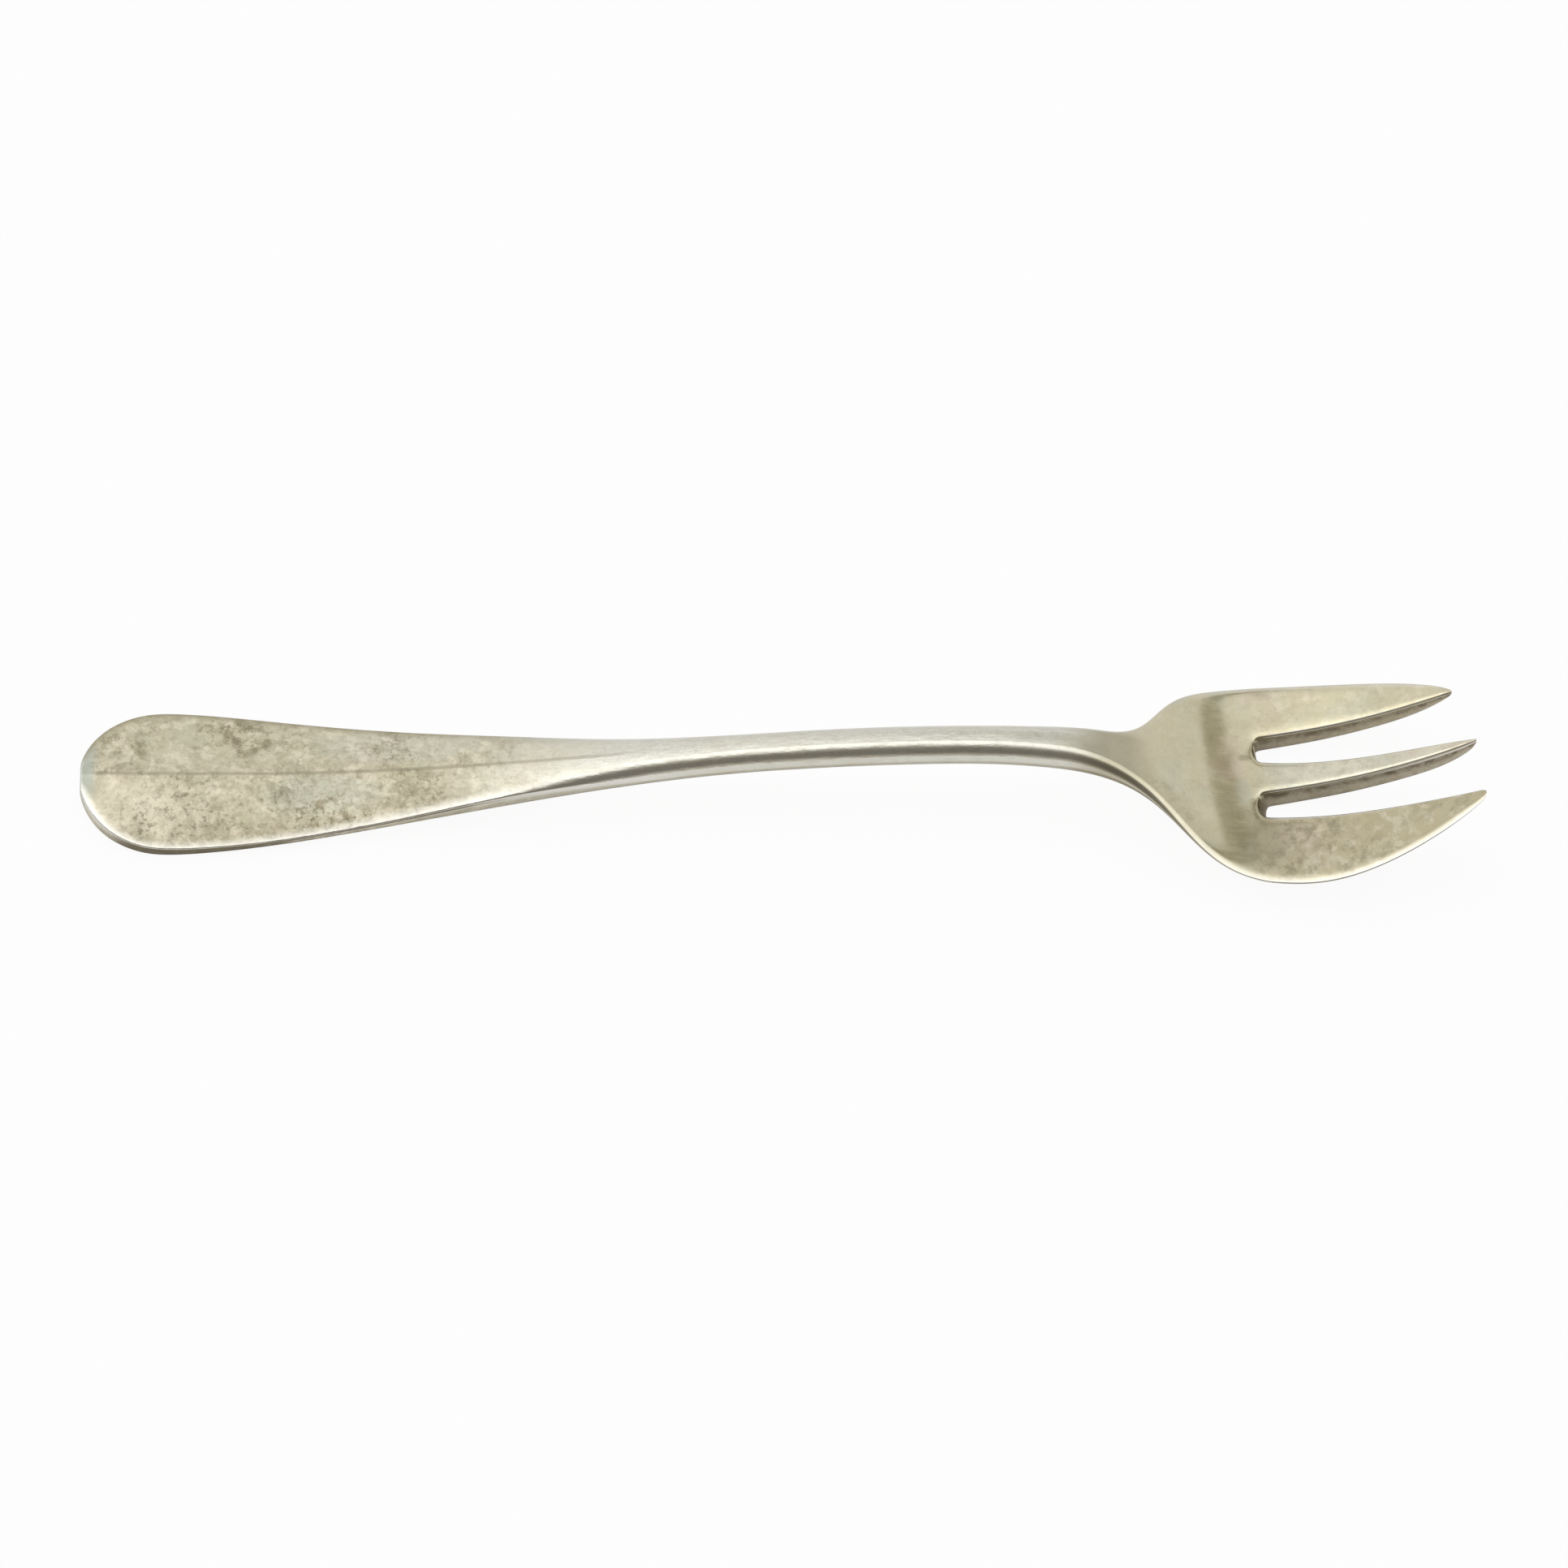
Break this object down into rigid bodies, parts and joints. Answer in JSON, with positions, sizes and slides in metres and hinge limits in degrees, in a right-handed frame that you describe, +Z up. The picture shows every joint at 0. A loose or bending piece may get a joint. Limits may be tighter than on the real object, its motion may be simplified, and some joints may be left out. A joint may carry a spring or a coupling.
{
  "type": "snail fork",
  "caption": "Small flatware fork for snails and shellfish, with a ridged round-ended handle, an arched slim stem, slim tapered tines and a broad cutting tine along one side of the head.",
  "frame": {"origin": "on the table under the middle of the fork's length and width, with the fork lying on its back", "axes": "+X from the handle's end to the points of the tines, +Y towards the plain outer tine, +Z up out of the front face"},
  "size_m": [0.141, 0.0248, 0.0095],
  "materials": {
    "silver_plate": "satin"
  },
  "bodies": {
    "root": {"handle": "silver_plate", "stem": "silver_plate", "neck": "silver_plate", "head_plate": "silver_plate", "plain_tine": "silver_plate", "middle_tine": "silver_plate", "cutting_tine": "silver_plate"}
  },
  "joints": []
}
